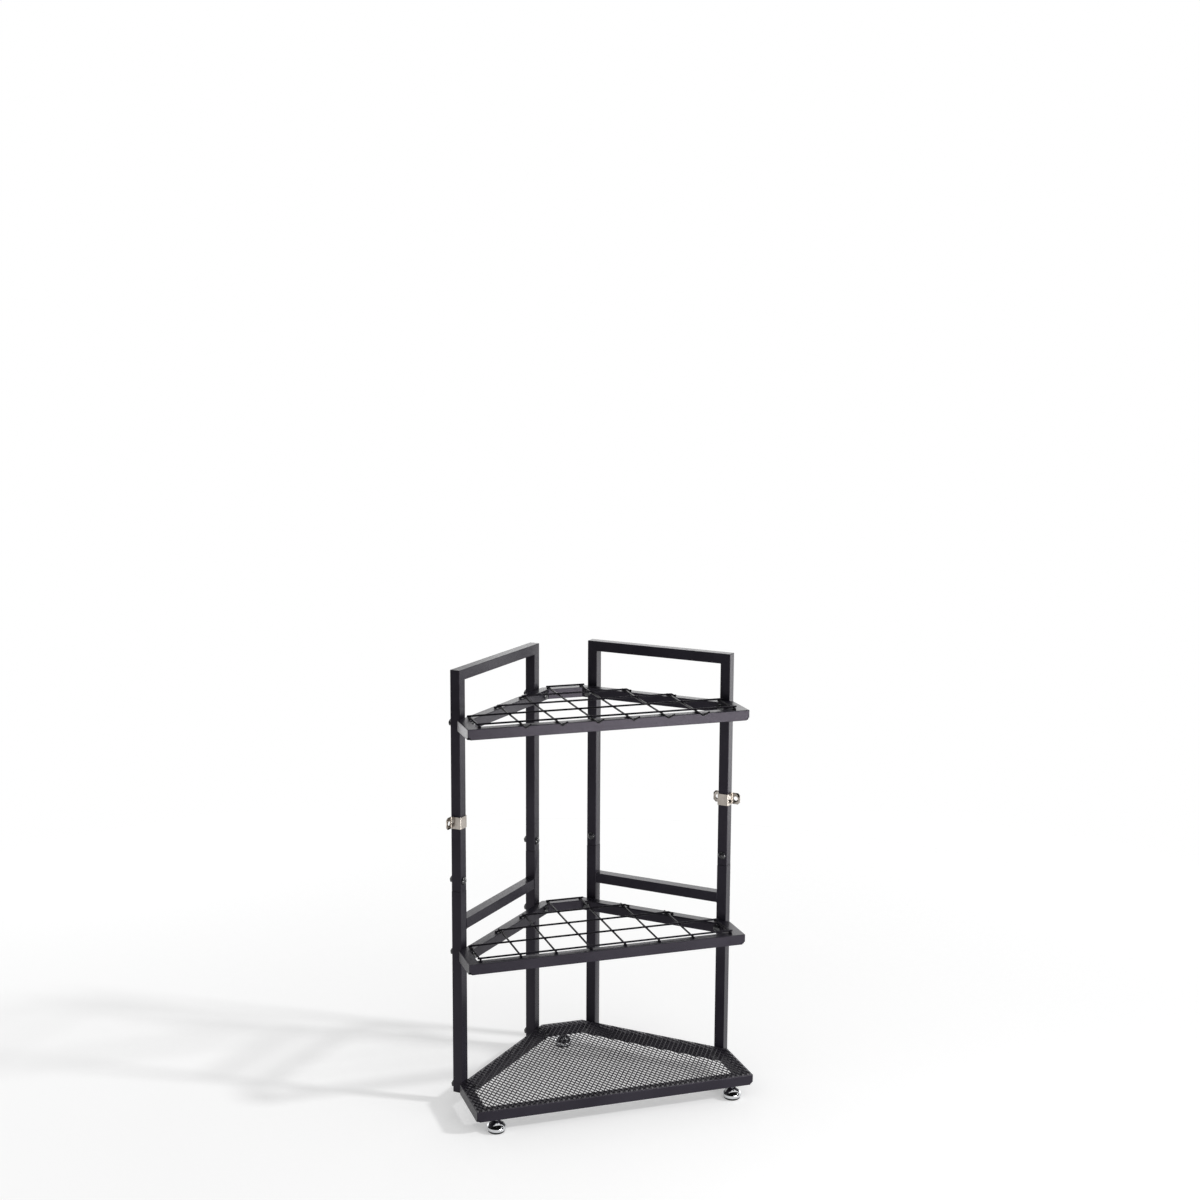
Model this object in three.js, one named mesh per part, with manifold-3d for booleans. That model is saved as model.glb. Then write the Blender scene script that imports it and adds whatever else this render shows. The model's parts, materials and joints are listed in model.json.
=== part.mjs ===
// Freestanding corner rack for long garden tools, made of hollow square steel tube.
// Millimetres, +Z up, X across the straight front, +Y towards the room corner behind the rack.
// In plan each level has a straight front, two short returns, two diagonal sides at 45 degrees
// and a narrow back. Two tall side frames stand along the diagonals and carry the meshed base
// and the two wire shelves. Each side frame is in two halves that meet at a seam.

import * as THREE from 'three';
import { mergeGeometries, mergeVertices } from 'three/addons/utils/BufferGeometryUtils.js';
import Module from 'manifold-3d';

const wasm = await Module();
wasm.setup();

// Fits: the gap between pieces that bear on each other, and how far a cutter runs past a face
const seat = 0.3;
const overrun = 5;

// Facets of the round shapes
const wireSides = 8;
const boltSides = 12;
const boreSides = 8;
const footSides = 18;
const bendSteps = 3;

// Square tube
const tubeSide = 22;
const tubeWall = 1.5;
const tubeMiddle = tubeSide / 2;

// Plan of the shelves, and how far the base reaches in front of them
const halfWidth = 300;
const backHalfWidth = 48;
const sideReturn = 85;
const baseReach = 56;
const diagonalRun = halfWidth - backHalfWidth;
const depth = sideReturn + diagonalRun;
const diagonalTurn = Math.PI / 4;
const diagonalLength = diagonalRun / Math.cos(diagonalTurn);
const drainRadius = 6;

// Heights above the floor: the undersides of the base and the middle shelf, the seam and the top
const baseHeight = 28;
const middleHeight = 318;
const seamHeight = 462;
const rackHeight = 925;

// The cross rails keep their place under the seam, and the top shelf keeps its own under the top
const railDrop = 84;
const topDrop = 122;
const railHeight = seamHeight - railDrop;
const topHeight = rackHeight - topDrop;

// Legs of the side frames
const legInset = 10;
const legOffset = diagonalLength / 2 - legInset - tubeMiddle;
const railVentRadius = 2.5;
const joinerLength = 90;
const jointBoltRise = 22;
const plugFlange = 2;
const plugDepth = 5;

// Bolts and nuts, and the bores that the bolts run through with the fit's gap on every flat
const boltRadius = 4;
const boreRadius = (boltRadius + seat) / Math.cos(Math.PI / boreSides);
const boltTail = 2;
const headRadius = 8.3;
const headHeight = 4.5;
const nutAcrossFlats = 13;
const nutHeight = 6.5;

// Wire grids: rows run across the rack on top of the columns, which run from front to back
const wireRadius = 2;
const weldSink = 0.6;
const gridColumns = 6;
const gridRows = 5;
const endColumnInset = 28;
const outerColumnInset = 112.5;
const endColumn = halfWidth - endColumnInset;
const columnPitch = 2 * (halfWidth - outerColumnInset) / (gridColumns - 1);
const firstRow = 18;
const lastRowInset = 19;
const rowPitch = (depth - firstRow - lastRowInset) / (gridRows - 1);
const wireEndInset = 10;
const rowTail = 6;
const rowFallRun = 6;
const rowLanding = 5;
const wireBendRadius = 8;

// Hooks in front of the top shelf
const hookBend = 25;
const hookReach = 58;
const hookRise = 14;

// Expanded metal on the base: each gap of the model stands for three by three of the real sheet
const sheetInset = 4;
const sheetThickness = 2;
const diamondWidth = 11.3;
const diamondLength = 18.6;
const diamondsPerGap = 3;
const strandWidth = 5;

// Feet
const frontFootInset = 43;
const frontFootOffset = halfWidth - frontFootInset;
const soleRadius = 17.5;
const soleHeight = 5;
const solePinRadius = 3;
const solePinHeight = 8;
const bunRadius = 20.1;
const bareStud = 3;
const studGap = 3;
const bunHeight = baseHeight - bareStud - seat - soleHeight;
const studLength = bareStud + tubeSide - tubeWall - studGap;

// Wall clips
const clipHeight = 595.5;
const clipWidth = 25;
const clipThickness = 1.5;
const clipEar = 18;
const clipBendRadius = 2;
const clipHoleRadius = 4.5;
const clipHoleInset = 8;
const clipChamfer = 5;

// Finishes
const powderCoat = { color: 0x2c2b30, roughness: 0.5, metalness: 0.35 };
const blackSteel = { color: 0x121214, roughness: 0.22, metalness: 0.7 };
const chrome = { color: 0xd9dbde, roughness: 0.08, metalness: 1 };
const nickel = { color: 0xb8b1a2, roughness: 0.28, metalness: 1 };
const blackPlastic = { color: 0x151517, roughness: 0.65, metalness: 0 };

// Turns a closed geometry into a solid: shared corners are merged and collapsed facets dropped
function toSolid(geometry) {
  const bare = geometry.clone();
  bare.deleteAttribute('normal');
  bare.deleteAttribute('uv');
  const merged = mergeVertices(bare);
  const corners = merged.index.array;
  const triangles = [];
  for (let i = 0; i < corners.length; i += 3) {
    const [a, b, c] = corners.slice(i, i + 3);
    if (a !== b && b !== c && c !== a) {
      triangles.push(a, b, c);
    }
  }
  const vertProperties = new Float32Array(merged.attributes.position.array);
  const triVerts = new Uint32Array(triangles);
  return new wasm.Manifold(new wasm.Mesh({ numProp: 3, vertProperties, triVerts }));
}

function toGeometry(solid) {
  const { vertProperties, triVerts } = solid.getMesh();
  const geometry = new THREE.BufferGeometry();
  geometry.setAttribute('position', new THREE.BufferAttribute(vertProperties, 3));
  geometry.setIndex(new THREE.BufferAttribute(triVerts, 1));
  geometry.computeVertexNormals();
  return geometry;
}

// A box between two opposite corners
function block(low, high) {
  const size = high.clone().sub(low);
  const box = new THREE.BoxGeometry(size.x, size.y, size.z);
  return box.translate((low.x + high.x) / 2, (low.y + high.y) / 2, (low.z + high.z) / 2);
}

// A square bar that stands on the plane z = bottom, centred on the given place
function uprightBar(side, x, y, bottom, top) {
  const half = side / 2;
  return block(new THREE.Vector3(x - half, y - half, bottom), new THREE.Vector3(x + half, y + half, top));
}

// A plan outline, with or without an inner outline, raised from one height to another
function prism(outline, bottom, top, inner = null) {
  const shape = new THREE.Shape(outline);
  if (inner) {
    shape.holes.push(new THREE.Path(inner));
  }
  const solid = new THREE.ExtrudeGeometry(shape, { depth: top - bottom, bevelEnabled: false });
  return solid.translate(0, 0, bottom);
}

// An outline seen from the front, with its y as height, run from one depth to another
function panel(outline, front, back) {
  return prism(outline, 0, back - front).rotateX(Math.PI / 2).translate(0, back, 0);
}

// Round bars along Y and along Z
function rodAlongY(radius, sides, from, to) {
  return new THREE.CylinderGeometry(radius, radius, to - from, sides).translate(0, (from + to) / 2, 0);
}

function rodAlongZ(radius, sides, from, to) {
  return rodAlongY(radius, sides, from, to).rotateX(Math.PI / 2);
}

// Radius of the corners of a hexagon with the given width across its flats
function hexagonRadius(acrossFlats) {
  return acrossFlats / 2 / Math.cos(Math.PI / 6);
}

// A profile of radius and height points, turned about Z
function turned(profile, sides) {
  return new THREE.LatheGeometry(profile, sides).rotateX(Math.PI / 2);
}

// A closed anticlockwise outline moved inwards, with mitred corners
function inset(outline, distance) {
  return outline.map((corner, i) => {
    const arriving = corner.clone().sub(outline.at(i - 1)).normalize();
    const leaving = outline[(i + 1) % outline.length].clone().sub(corner).normalize();
    const normal = new THREE.Vector2(-arriving.y, arriving.x);
    const next = new THREE.Vector2(-leaving.y, leaving.x);
    const mitre = normal.clone().add(next).divideScalar(1 + normal.dot(next));
    return corner.clone().addScaledVector(mitre, distance);
  });
}

// A path of straight runs with a curve of the given radius in each corner
function roundedPath(points, radius) {
  const path = [points[0]];
  for (let i = 1; i < points.length - 1; i += 1) {
    const arriving = points[i].clone().sub(points[i - 1]).normalize();
    const leaving = points[i + 1].clone().sub(points[i]).normalize();
    const cut = radius * Math.tan(arriving.angleTo(leaving) / 2);
    const start = points[i].clone().addScaledVector(arriving, -cut);
    const end = points[i].clone().addScaledVector(leaving, cut);
    path.push(...new THREE.QuadraticBezierCurve3(start, points[i], end).getPoints(bendSteps));
  }
  path.push(points.at(-1));
  return path;
}

// A curve through given points, that is sampled at those points alone
class PointPath extends THREE.Curve {
  constructor(points) {
    super();
    this.points = points;
  }

  getPoint(share, target = new THREE.Vector3()) {
    const place = share * (this.points.length - 1);
    const before = Math.min(Math.floor(place), this.points.length - 2);
    return target.lerpVectors(this.points[before], this.points[before + 1], place - before);
  }

  getPointAt(share, target) {
    return this.getPoint(share, target);
  }

  getTangentAt(share, target = new THREE.Vector3()) {
    const last = this.points.length - 1;
    const here = Math.round(share * last);
    const arriving = this.direction(Math.max(here, 1));
    const leaving = this.direction(Math.min(here + 1, last));
    return target.addVectors(arriving, leaving).normalize();
  }

  direction(end) {
    return this.points[end].clone().sub(this.points[end - 1]).normalize();
  }
}

// A wire along a path, with a flat facet up and down
function wire(points) {
  const corner = wireRadius / Math.cos(Math.PI / wireSides);
  const section = [];
  for (let i = 0; i < wireSides; i += 1) {
    const angle = (i + 0.5) * 2 * Math.PI / wireSides;
    section.push(new THREE.Vector2(corner * Math.cos(angle), corner * Math.sin(angle)));
  }
  const extrudePath = new PointPath(points);
  return new THREE.ExtrudeGeometry(new THREE.Shape(section), { steps: points.length - 1, extrudePath });
}

// Sides of the rack: the right one is at +X
const sides = [{ name: 'left', sign: -1 }, { name: 'right', sign: 1 }];
const legs = [{ name: 'front', sign: 1 }, { name: 'back', sign: -1 }];

// A side frame's own axes: X along the wall, Y out towards the wall, from the middle of the
// diagonal's outer line. X points to the front on the right side and to the back on the left.
function sideTurn(side) {
  return -side.sign * diagonalTurn;
}

function sidePlace(side) {
  return new THREE.Vector3(side.sign * (halfWidth - diagonalRun / 2), sideReturn + diagonalRun / 2, 0);
}

function legPlace(side, leg) {
  return side.sign * leg.sign * legOffset;
}

function onSide(geometry, side) {
  const place = sidePlace(side);
  return geometry.rotateZ(sideTurn(side)).translate(place.x, place.y, place.z);
}

// Plan outline of one level, anticlockwise from its front left corner
function planOutline(front) {
  return [
    new THREE.Vector2(-halfWidth, front),
    new THREE.Vector2(halfWidth, front),
    new THREE.Vector2(halfWidth, sideReturn),
    new THREE.Vector2(backHalfWidth, depth),
    new THREE.Vector2(-backHalfWidth, depth),
    new THREE.Vector2(-halfWidth, sideReturn),
  ];
}

// A level's frame: mitred hollow tube all round, bored for the bolts, with a drain notch at the
// foot of each front corner. Its underside is at zero.
function levelFrame(front) {
  const outline = planOutline(front);
  const bar = prism(outline, 0, tubeSide, inset(outline, tubeSide));
  const hollow = prism(inset(outline, tubeWall), tubeWall, tubeSide - tubeWall, inset(outline, tubeSide - tubeWall));
  let frame = toSolid(bar).subtract(toSolid(hollow));
  for (const side of sides) {
    for (const leg of legs) {
      const bore = rodAlongY(boreRadius, boreSides, -tubeSide - overrun, overrun);
      bore.translate(legPlace(side, leg), 0, tubeMiddle);
      frame = frame.subtract(toSolid(onSide(bore, side)));
    }
    const drain = new THREE.SphereGeometry(drainRadius, boltSides, boltSides / 2);
    frame = frame.subtract(toSolid(drain.translate(side.sign * halfWidth, front, 0)));
  }
  return frame;
}

// Places of the feet: two under the base's front tube and one under its short back tube
const feet = [
  { name: 'front_left', x: -frontFootOffset, y: -baseReach + tubeMiddle },
  { name: 'front_right', x: frontFootOffset, y: -baseReach + tubeMiddle },
  { name: 'rear', x: 0, y: depth - tubeMiddle },
];

// The base's frame also has a weld nut over each foot, on the floor of the tube
function baseFrame() {
  let frame = levelFrame(-baseReach);
  for (const foot of feet) {
    const nut = rodAlongZ(hexagonRadius(nutAcrossFlats), 6, tubeWall / 2, tubeWall + nutHeight);
    const bore = rodAlongZ(boreRadius, boreSides, -overrun, tubeSide - tubeWall - seat);
    frame = frame.add(toSolid(nut.translate(foot.x, foot.y, 0)));
    frame = frame.subtract(toSolid(bore.translate(foot.x, foot.y, 0)));
  }
  return frame;
}

// Whether a point lies inside a convex anticlockwise outline
function inside(point, outline) {
  return outline.every((corner, i) => {
    const edge = outline[(i + 1) % outline.length].clone().sub(corner);
    return edge.cross(point.clone().sub(corner)) > 0;
  });
}

// Expanded metal: a flattened sheet with staggered diamonds inside the base's tubes
function baseMesh() {
  const outline = planOutline(-baseReach);
  const window = inset(outline, tubeSide);
  const pitchX = diamondWidth * diamondsPerGap;
  const pitchY = diamondLength * diamondsPerGap;
  const reach = inset(outline, tubeSide - strandWidth);
  const gaps = [];
  for (let row = 0; row * pitchY / 2 < baseReach + depth; row += 1) {
    const stagger = (row % 2) * pitchX / 2;
    for (let x = stagger - Math.ceil(halfWidth / pitchX) * pitchX; x < halfWidth; x += pitchX) {
      const middle = new THREE.Vector2(x, row * pitchY / 2 - baseReach);
      if (inside(middle, reach)) {
        gaps.push(diamondCutter(middle, pitchX, pitchY));
      }
    }
  }
  const cuts = toSolid(mergeGeometries(gaps)).intersect(toSolid(prism(window, -overrun, sheetThickness + overrun)));
  return toSolid(prism(inset(outline, sheetInset), 0, sheetThickness)).subtract(cuts);
}

// One diamond gap: the lattice cell less half a strand on each side
function diamondCutter(middle, width, length) {
  const slant = Math.hypot(width, length);
  const halfX = width / 2 - strandWidth / 2 * slant / length;
  const halfY = length / 2 - strandWidth / 2 * slant / width;
  const outline = [[halfX, 0], [0, halfY], [-halfX, 0], [0, -halfY]].map(
    ([x, y]) => new THREE.Vector2(middle.x + x, middle.y + y),
  );
  return prism(outline, -overrun, sheetThickness + overrun);
}

// Columns of the wire grid, and how far back each may run
function columnPlaces() {
  const places = [-endColumn, endColumn];
  for (let i = 0; i < gridColumns; i += 1) {
    places.push((i - (gridColumns - 1) / 2) * columnPitch);
  }
  return places;
}

function columnEnd(x) {
  return Math.min(depth, sideReturn + halfWidth - Math.abs(x)) - wireEndInset;
}

function column(x, hooked) {
  const height = wireRadius;
  const back = new THREE.Vector3(x, columnEnd(x), height);
  if (!hooked || Math.abs(x) === endColumn) {
    return wire([new THREE.Vector3(x, wireEndInset, height), back]);
  }
  const tip = new THREE.Vector3(x, -hookReach, height + hookRise);
  const bend = new THREE.Vector3(x, -hookBend, height);
  return wire(roundedPath([tip, bend, back], wireBendRadius * 2));
}

// A row ends past its outer column. Where the diagonal tube is farther out, the row's end falls
// onto the middle of that tube.
function row(y) {
  const height = 3 * wireRadius - weldSink;
  const outer = Math.max(...columnPlaces().filter((x) => columnEnd(x) > y));
  const tube = halfWidth - (y - sideReturn) - tubeMiddle / Math.cos(diagonalTurn);
  const overDiagonal = y > sideReturn && y < depth - tubeSide;
  const falls = overDiagonal && tube - rowLanding - rowFallRun > outer;
  if (!falls) {
    const end = outer + rowTail;
    return wire([new THREE.Vector3(-end, y, height), new THREE.Vector3(end, y, height)]);
  }
  const half = [
    new THREE.Vector3(tube, y, wireRadius),
    new THREE.Vector3(tube - rowLanding, y, wireRadius),
    new THREE.Vector3(tube - rowLanding - rowFallRun, y, height),
  ];
  const mirrored = half.map((point) => new THREE.Vector3(-point.x, point.y, point.z));
  return wire(roundedPath([...mirrored, ...half.reverse()], wireRadius * 2));
}

function shelfGrid(hooked) {
  let grid = toSolid(column(endColumn, hooked));
  for (const x of columnPlaces()) {
    grid = grid.add(toSolid(column(x, hooked)));
  }
  for (let i = 0; i < gridRows; i += 1) {
    grid = grid.add(toSolid(row(firstRow + i * rowPitch)));
  }
  return grid;
}

// An arch of tube seen from the front: two legs that stand on the foot line and a mitred top.
// The outline is moved into the tube by the given amount, but not at the foot line.
function archOutline(foot, top, into) {
  const outer = legOffset + tubeMiddle - into;
  const inner = legOffset - tubeMiddle + into;
  return [
    new THREE.Vector2(-outer, foot),
    new THREE.Vector2(-inner, foot),
    new THREE.Vector2(-inner, top - tubeSide + into),
    new THREE.Vector2(inner, top - tubeSide + into),
    new THREE.Vector2(inner, foot),
    new THREE.Vector2(outer, foot),
    new THREE.Vector2(outer, top - into),
    new THREE.Vector2(-outer, top - into),
  ];
}

// Bores through both legs of a side frame at one height
function boreLegs(frame, height) {
  let bored = frame;
  for (const leg of legs) {
    const bore = rodAlongY(boreRadius, boreSides, seat - overrun, seat + tubeSide + overrun);
    bored = bored.subtract(toSolid(bore.translate(leg.sign * legOffset, 0, height)));
  }
  return bored;
}

function upperFrame() {
  const foot = seamHeight + seat / 2;
  const bar = panel(archOutline(foot, rackHeight, 0), seat, seat + tubeSide);
  const hollowFront = seat + tubeWall;
  const hollowBack = seat + tubeSide - tubeWall;
  const hollow = panel(archOutline(foot - overrun, rackHeight, tubeWall), hollowFront, hollowBack);
  let frame = toSolid(bar).subtract(toSolid(hollow));
  frame = boreLegs(frame, topHeight + tubeMiddle);
  return boreLegs(frame, seamHeight + jointBoltRise);
}

// The lower half: two legs, open at both ends, and a cross rail with a vent on the wall's side
function lowerFrame() {
  const top = seamHeight - seat / 2;
  const middleY = seat + tubeMiddle;
  const bore = tubeSide - 2 * tubeWall;
  const inner = legOffset - tubeMiddle;
  const rail = block(
    new THREE.Vector3(-legOffset, seat, railHeight),
    new THREE.Vector3(legOffset, seat + tubeSide, railHeight + tubeSide),
  );
  const railHollow = block(
    new THREE.Vector3(-inner, seat + tubeWall, railHeight + tubeWall),
    new THREE.Vector3(inner, seat + tubeSide - tubeWall, railHeight + tubeSide - tubeWall),
  );
  const vent = rodAlongY(railVentRadius, wireSides, middleY, seat + tubeSide + overrun);
  vent.translate(inner - tubeMiddle, 0, railHeight + tubeMiddle);
  let frame = toSolid(rail);
  for (const leg of legs) {
    frame = frame.add(toSolid(uprightBar(tubeSide, leg.sign * legOffset, middleY, baseHeight, top)));
  }
  for (const leg of legs) {
    const x = leg.sign * legOffset;
    frame = frame.subtract(toSolid(uprightBar(bore, x, middleY, baseHeight - overrun, top + overrun)));
  }
  frame = frame.subtract(toSolid(railHollow)).subtract(toSolid(vent));
  frame = boreLegs(frame, baseHeight + tubeMiddle);
  return boreLegs(frame, middleHeight + tubeMiddle);
}

// A shorter tube inside a leg, half below and half above the seam; its middle is at zero
function joiner() {
  const side = tubeSide - 2 * tubeWall - 2 * seat;
  const end = joinerLength / 2;
  const tube = toSolid(uprightBar(side, 0, 0, -end, end));
  const hollow = toSolid(uprightBar(side - 2 * tubeWall, 0, 0, -end - overrun, end + overrun));
  const bore = rodAlongY(boreRadius, boreSides, -tubeSide, tubeSide);
  return tube.subtract(hollow).subtract(toSolid(bore.translate(0, 0, jointBoltRise)));
}

// A plug under a leg: a flange as wide as the tube and a square stub inside it, top face at zero
function endPlug() {
  const stub = tubeSide - 2 * tubeWall - 2 * seat;
  const flange = toSolid(uprightBar(tubeSide, 0, 0, -plugFlange, 0));
  return flange.add(toSolid(uprightBar(stub, 0, 0, -plugFlange / 2, plugDepth)));
}

// A domed bolt along Y: the head bears at zero and the shank runs through the given grip
const headShares = [[1, 0], [0.87, 0.52], [0.5, 0.9]];

function bolt(grip) {
  const profile = [new THREE.Vector2(0, -headHeight)];
  for (const [radiusShare, heightShare] of [...headShares].reverse()) {
    profile.push(new THREE.Vector2(radiusShare * headRadius, -heightShare * headHeight));
  }
  const end = grip + seat + nutHeight + boltTail;
  profile.push(new THREE.Vector2(boltRadius, 0));
  profile.push(new THREE.Vector2(boltRadius, end));
  profile.push(new THREE.Vector2(0, end));
  return toSolid(new THREE.LatheGeometry(profile, boltSides));
}

function boltNut() {
  const nut = toSolid(rodAlongY(hexagonRadius(nutAcrossFlats), 6, 0, nutHeight));
  return nut.subtract(toSolid(rodAlongY(boreRadius, boreSides, -overrun, nutHeight + overrun)));
}

// The bun of a foot with its stud, which turns on the sole's pin. The bun's rim is at zero.
const bunShares = [
  [0.925, 0], [0.985, 0.13], [1, 0.28], [0.97, 0.39], [0.91, 0.49], [0.771, 0.645], [0.597, 0.772], [0.285, 1],
];

function bun() {
  const boreTop = solePinHeight;
  const profile = [
    new THREE.Vector2(0, boreTop),
    new THREE.Vector2(solePinRadius + seat, boreTop),
    new THREE.Vector2(solePinRadius + seat, 0),
  ];
  for (const [radiusShare, heightShare] of bunShares) {
    profile.push(new THREE.Vector2(radiusShare * bunRadius, heightShare * bunHeight));
  }
  profile.push(new THREE.Vector2(boltRadius, bunHeight));
  profile.push(new THREE.Vector2(boltRadius, bunHeight + studLength));
  profile.push(new THREE.Vector2(0, bunHeight + studLength));
  return toSolid(turned(profile, footSides));
}

// The sole stands on the floor at zero; its edge is drawn in at the foot
const soleFootShare = 0.86;

function sole() {
  const profile = [
    new THREE.Vector2(0, 0),
    new THREE.Vector2(soleRadius * soleFootShare, 0),
    new THREE.Vector2(soleRadius, soleHeight / 2),
    new THREE.Vector2(soleRadius, soleHeight),
    new THREE.Vector2(solePinRadius, soleHeight),
    new THREE.Vector2(solePinRadius, soleHeight + solePinHeight),
    new THREE.Vector2(0, soleHeight + solePinHeight),
  ];
  return toSolid(turned(profile, footSides));
}

// A bent strip of even thickness: the path is its middle line, in plan
function strip(path, thickness) {
  const faces = [[], []];
  path.forEach((point, i) => {
    const before = path[Math.max(i - 1, 0)];
    const after = path[Math.min(i + 1, path.length - 1)];
    const along = after.clone().sub(before).normalize();
    const across = new THREE.Vector3(-along.y, along.x, 0).multiplyScalar(thickness / 2);
    faces[0].push(point.clone().sub(across));
    faces[1].push(point.clone().add(across));
  });
  return [...faces[0], ...faces[1].reverse()].map((point) => new THREE.Vector2(point.x, point.y));
}

// A wall clip: a strap round the leg's inner face and sides, with an ear on each side that lies in
// the plane of the leg's outer face. Its lower edge is at zero and its X and Y are the side frame's.
function wallClip() {
  const cheek = tubeMiddle + seat + clipThickness / 2;
  const ear = cheek + clipThickness / 2 + clipEar;
  const face = -clipThickness / 2;
  const wall = seat + tubeSide - clipThickness / 2;
  const path = [[-ear, wall], [-cheek, wall], [-cheek, face], [cheek, face], [cheek, wall], [ear, wall]];
  const bends = roundedPath(path.map(([x, y]) => new THREE.Vector3(x, y, 0)), clipBendRadius);
  let clip = toSolid(prism(strip(bends, clipThickness), 0, clipWidth));
  for (const hand of [-1, 1]) {
    const hole = rodAlongY(clipHoleRadius, boltSides, wall - overrun, wall + overrun);
    hole.translate(hand * (cheek + clipThickness / 2 + clipHoleInset), 0, clipWidth / 2);
    clip = clip.subtract(toSolid(hole));
    for (const edge of [0, clipWidth]) {
      const corner = rodAlongY(clipChamfer, 4, wall - overrun, wall + overrun);
      clip = clip.subtract(toSolid(corner.translate(hand * ear, 0, edge)));
    }
  }
  return clip;
}

// Adds a named piece with its finish to a group
function addPiece(group, name, geometry, finish, x = 0, y = 0, z = 0) {
  const piece = new THREE.Mesh(geometry, new THREE.MeshStandardMaterial(finish));
  piece.name = name;
  piece.position.set(x, y, z);
  group.add(piece);
}

const rack = new THREE.Group();

// Levels
const levels = [
  { name: 'base', height: baseHeight, frame: baseFrame() },
  { name: 'middle', height: middleHeight, frame: levelFrame(0) },
  { name: 'top', height: topHeight, frame: levelFrame(0) },
];
addPiece(rack, 'base_frame', toGeometry(levels[0].frame), powderCoat, 0, 0, baseHeight);
addPiece(rack, 'middle_shelf_frame', toGeometry(levels[1].frame), powderCoat, 0, 0, middleHeight);
addPiece(rack, 'top_shelf_frame', toGeometry(levels[2].frame), powderCoat, 0, 0, topHeight);
addPiece(rack, 'base_mesh', toGeometry(baseMesh()), powderCoat, 0, 0, baseHeight + tubeSide);
addPiece(rack, 'middle_shelf_grid', toGeometry(shelfGrid(false)), powderCoat, 0, 0, middleHeight + tubeSide);
addPiece(rack, 'top_shelf_grid', toGeometry(shelfGrid(true)), powderCoat, 0, 0, topHeight + tubeSide);

// Feet
const bunGeometry = toGeometry(bun());
const soleGeometry = toGeometry(sole());
for (const foot of feet) {
  addPiece(rack, `sole_${foot.name}`, soleGeometry, blackPlastic, foot.x, foot.y, 0);
  addPiece(rack, `foot_${foot.name}`, bunGeometry, chrome, foot.x, foot.y, soleHeight + seat);
}

// Side frames with their joiners, bolts, plugs and clips
const upperGeometry = toGeometry(upperFrame());
const lowerGeometry = toGeometry(lowerFrame());
const joinerGeometry = toGeometry(joiner());
const plugGeometry = toGeometry(endPlug());
const nutGeometry = toGeometry(boltNut());
const clipGeometry = toGeometry(wallClip());
const shelfHead = -tubeSide - seat;
const jointHead = 0;
const nutFace = seat + tubeSide + seat;
const shelfBoltGeometry = toGeometry(bolt(seat + tubeSide - shelfHead));
const jointBoltGeometry = toGeometry(bolt(seat + tubeSide - jointHead));

for (const side of sides) {
  const frame = new THREE.Group();
  frame.position.copy(sidePlace(side));
  frame.rotation.z = sideTurn(side);
  rack.add(frame);
  addPiece(frame, `${side.name}_lower_frame`, lowerGeometry, powderCoat);
  addPiece(frame, `${side.name}_upper_frame`, upperGeometry, powderCoat);
  for (const leg of legs) {
    const x = legPlace(side, leg);
    const place = `${side.name}_${leg.name}`;
    const middleY = seat + tubeMiddle;
    const jointHeight = seamHeight + jointBoltRise;
    addPiece(frame, `joiner_${place}`, joinerGeometry, blackSteel, x, middleY, seamHeight);
    addPiece(frame, `plug_${place}`, plugGeometry, blackPlastic, x, middleY, baseHeight - seat);
    addPiece(frame, `joint_bolt_${place}`, jointBoltGeometry, blackSteel, x, jointHead, jointHeight);
    addPiece(frame, `joint_nut_${place}`, nutGeometry, blackSteel, x, nutFace, jointHeight);
    for (const level of levels) {
      const height = level.height + tubeMiddle;
      addPiece(frame, `${level.name}_bolt_${place}`, shelfBoltGeometry, blackSteel, x, shelfHead, height);
      addPiece(frame, `${level.name}_nut_${place}`, nutGeometry, blackSteel, x, nutFace, height);
    }
  }
  const clipPlace = legPlace(side, legs[0]);
  addPiece(frame, `wall_clip_${side.name}`, clipGeometry, nickel, clipPlace, 0, clipHeight);
}

// The origin is at the middle of the rack's box in plan, on the floor
rack.updateMatrixWorld(true);
const box = new THREE.Box3().setFromObject(rack, true);
rack.position.set(-(box.min.x + box.max.x) / 2, -(box.min.y + box.max.y) / 2, -box.min.z);

const part = new THREE.Group();
part.add(rack);

export default part;
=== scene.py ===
"""Looks of a freestanding corner rack for long garden tools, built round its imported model.

The tubes, their end plugs and the joiner tubes keep their solids, and the first two get rounded
edges. The wires, the expanded metal, the feet, the bolts, the nuts and the wall clips are made
again here with their fine shape. Metres throughout.
"""

import json
import math

import bmesh
import bpy
from mathutils import Matrix, Vector

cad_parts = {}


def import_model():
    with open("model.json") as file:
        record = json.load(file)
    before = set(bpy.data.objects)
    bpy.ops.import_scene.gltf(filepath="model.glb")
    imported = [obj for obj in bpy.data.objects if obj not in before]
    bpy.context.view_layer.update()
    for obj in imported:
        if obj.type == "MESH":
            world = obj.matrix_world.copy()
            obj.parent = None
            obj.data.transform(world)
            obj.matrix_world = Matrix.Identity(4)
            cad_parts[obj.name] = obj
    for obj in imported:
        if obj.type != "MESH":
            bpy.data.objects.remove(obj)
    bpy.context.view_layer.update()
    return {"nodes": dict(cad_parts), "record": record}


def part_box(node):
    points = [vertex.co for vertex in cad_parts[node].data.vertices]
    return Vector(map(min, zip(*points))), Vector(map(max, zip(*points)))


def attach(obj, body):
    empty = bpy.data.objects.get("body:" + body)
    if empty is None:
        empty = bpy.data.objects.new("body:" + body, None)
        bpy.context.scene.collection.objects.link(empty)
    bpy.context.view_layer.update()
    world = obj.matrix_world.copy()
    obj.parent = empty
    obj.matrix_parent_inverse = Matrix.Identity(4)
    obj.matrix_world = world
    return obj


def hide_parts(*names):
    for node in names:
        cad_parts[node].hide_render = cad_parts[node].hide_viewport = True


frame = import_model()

# Sizes of the tubes and of the plan, as in the solids
SEAT = 0.0003
TUBE = 0.022
HALF_WIDTH = 0.300
SIDE_RETURN = 0.085
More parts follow.
